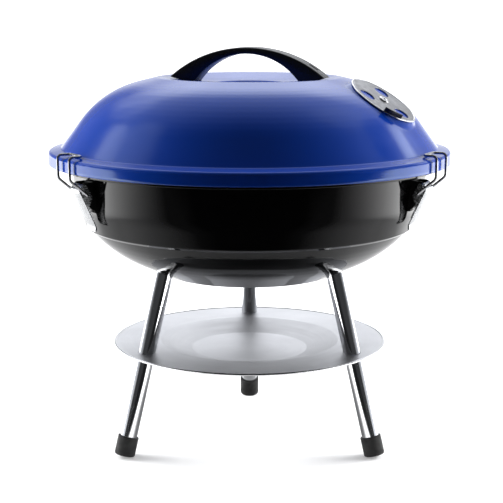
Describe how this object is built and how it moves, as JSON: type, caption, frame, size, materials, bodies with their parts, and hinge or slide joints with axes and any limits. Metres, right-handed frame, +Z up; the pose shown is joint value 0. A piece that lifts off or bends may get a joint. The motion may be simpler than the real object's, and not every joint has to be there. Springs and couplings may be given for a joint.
{
  "type": "portable tabletop grill",
  "caption": "Portable tabletop charcoal grill: enamelled domed lid with arched handle and air vent, bowl on chrome tube legs with rubber feet, ash catcher, grates and wire draw latches.",
  "frame": {"origin": "on the grill's vertical axis, at ground level under the feet", "axes": "+Z up; -Y is the front, between the two front legs; +X is the right-hand side seen from the front, where the lid vent is"},
  "size_m": [0.36, 0.3639, 0.3594],
  "materials": {
    "lid_enamel": "deep blue gloss enamel, lightly orange-peeled",
    "bowl_enamel": "black gloss enamel",
    "handle_plastic": "black phenolic, satin",
    "leg_chrome": "bright chrome plate",
    "foot_rubber": "black rubber, matt",
    "ash_steel": "spun steel, satin",
    "vent_zinc": "stamped aluminium, satin",
    "grate_chrome": "nickel-plated rod",
    "coal_grate_steel": "bare steel, dulled by heat",
    "bracket_black": "black lacquered steel",
    "latch_steel": "zinc-plated steel",
    "bail_wire": "plated spring wire",
    "fastener_zinc": "zinc-plated fasteners"
  },
  "bodies": {
    "bowl_and_stand": {"bowl": "bowl_enamel", "bowl_vent_rivet": "vent_zinc", "leg_front_left": "leg_chrome", "leg_front_right": "leg_chrome", "leg_rear": "leg_chrome", "foot_cap_front_left": "foot_rubber", "foot_cap_front_right": "foot_rubber", "foot_cap_rear": "foot_rubber", "leg_plugs": "fastener_zinc", "leg_bolts": "fastener_zinc", "leg_washers": "fastener_zinc", "ash_catcher": "ash_steel", "latch_bracket_left": "bracket_black", "latch_bracket_right": "bracket_black", "latch_bracket_rear": "bracket_black", "latch_pins": "fastener_zinc", "latch_rivets": "fastener_zinc"},
    "lid": {"lid": "lid_enamel", "lid_handle": "handle_plastic", "lid_handle_screws": "fastener_zinc", "lid_handle_washers": "fastener_zinc", "lid_vent_rivet": "vent_zinc"},
    "lid_vent": {"lid_vent_damper": "vent_zinc"},
    "bowl_vent": {"bowl_vent_damper": "vent_zinc"},
    "cooking_grate": {"cooking_grate": "grate_chrome"},
    "charcoal_grate": {"charcoal_grate": "coal_grate_steel"},
    "latch_lever_left": {"latch_lever_left": "latch_steel"},
    "latch_bail_left": {"latch_bail_left": "bail_wire"},
    "latch_lever_right": {"latch_lever_right": "latch_steel"},
    "latch_bail_right": {"latch_bail_right": "bail_wire"},
    "latch_lever_rear": {"latch_lever_rear": "latch_steel"},
    "latch_bail_rear": {"latch_bail_rear": "bail_wire"}
  },
  "joints": [
    {"name": "lid_lift", "type": "slide", "parent": "bowl_and_stand", "child": "lid", "axis": [0, 0, 1], "range_m": [0, 0.12]},
    {"name": "lid_vent_turn", "type": "hinge", "parent": "lid", "child": "lid_vent", "pos_m": [0.11421, -0.05571, 0.31567], "axis": [0.4895, -0.2388, 0.8387], "range_deg": [0, 60]},
    {"name": "bowl_vent_turn", "type": "hinge", "parent": "bowl_and_stand", "child": "bowl_vent", "pos_m": [0, 0, 0.157], "axis": [0, 0, -1], "range_deg": [0, 60]},
    {"name": "cooking_grate_lift", "type": "slide", "parent": "bowl_and_stand", "child": "cooking_grate", "axis": [0, 0, 1], "range_m": [0, 0.012]},
    {"name": "charcoal_grate_lift", "type": "slide", "parent": "bowl_and_stand", "child": "charcoal_grate", "axis": [0, 0, 1], "range_m": [0, 0.04]},
    {"name": "latch_lever_left_turn", "type": "hinge", "parent": "bowl_and_stand", "child": "latch_lever_left", "pos_m": [-0.14247, -0.08903, 0.246], "axis": [-0.5299, 0.848, 0], "range_deg": [0, 130]},
    {"name": "latch_bail_left_swing", "type": "hinge", "parent": "latch_lever_left", "child": "latch_bail_left", "pos_m": [-0.14078, -0.08797, 0.2395], "axis": [-0.5299, 0.848, 0], "range_deg": [-169.5, 0]},
    {"name": "latch_lever_right_turn", "type": "hinge", "parent": "bowl_and_stand", "child": "latch_lever_right", "pos_m": [0.14833, -0.07887, 0.246], "axis": [-0.4695, -0.8829, 0], "range_deg": [0, 130]},
    {"name": "latch_bail_right_swing", "type": "hinge", "parent": "latch_lever_right", "child": "latch_bail_right", "pos_m": [0.14657, -0.07793, 0.2395], "axis": [-0.4695, -0.8829, 0], "range_deg": [-169.5, 0]},
    {"name": "latch_lever_rear_turn", "type": "hinge", "parent": "bowl_and_stand", "child": "latch_lever_rear", "pos_m": [-0.00586, 0.1679, 0.246], "axis": [0.9994, 0.0349, 0], "range_deg": [0, 130]},
    {"name": "latch_bail_rear_swing", "type": "hinge", "parent": "latch_lever_rear", "child": "latch_bail_rear", "pos_m": [-0.00579, 0.1659, 0.2395], "axis": [0.9994, 0.0349, 0], "range_deg": [-169.5, 0]}
  ],
  "couplings": [
    {"joint": "latch_bail_left_swing", "follows": "latch_lever_left_turn", "ratio": -1.3},
    {"joint": "latch_bail_right_swing", "follows": "latch_lever_right_turn", "ratio": -1.3},
    {"joint": "latch_bail_rear_swing", "follows": "latch_lever_rear_turn", "ratio": -1.3}
  ]
}
